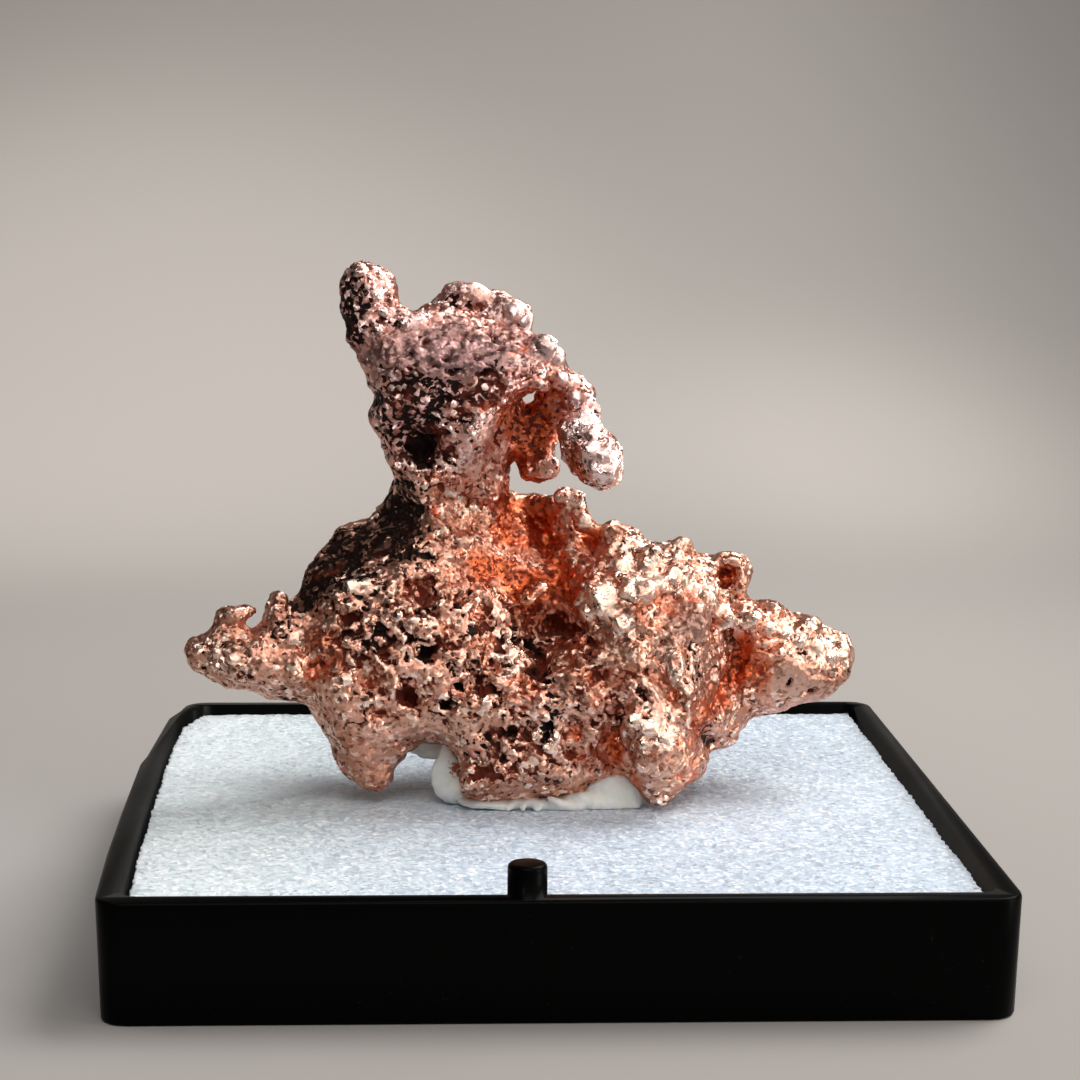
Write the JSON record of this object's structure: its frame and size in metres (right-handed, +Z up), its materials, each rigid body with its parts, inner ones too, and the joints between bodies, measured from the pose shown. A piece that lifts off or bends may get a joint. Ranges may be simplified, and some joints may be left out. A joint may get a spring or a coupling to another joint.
{
  "type": "native copper nugget",
  "caption": "Branching native copper nugget with a horned tower and an overhanging arm, held by pale putty on the white foam of a shallow square black display tray.",
  "frame": {"origin": "centre of the square flat underside of the tray, leaving out the bow of its left wall", "axes": "+Z up, the tray's front with its peg faces -Y, +X to the right seen from the front"},
  "size_m": [0.0327, 0.032, 0.0256],
  "materials": {
    "black_plastic": "glossy black moulded polystyrene",
    "white_foam": "white bead foam, cut face",
    "pale_putty": "pale soft mounting putty",
    "native_copper": "bright bare copper, nodular and pitted"
  },
  "bodies": {
    "root": {"tray": "black_plastic", "foam_insert": "white_foam", "putty": "pale_putty", "copper_nugget": "native_copper"}
  },
  "joints": []
}
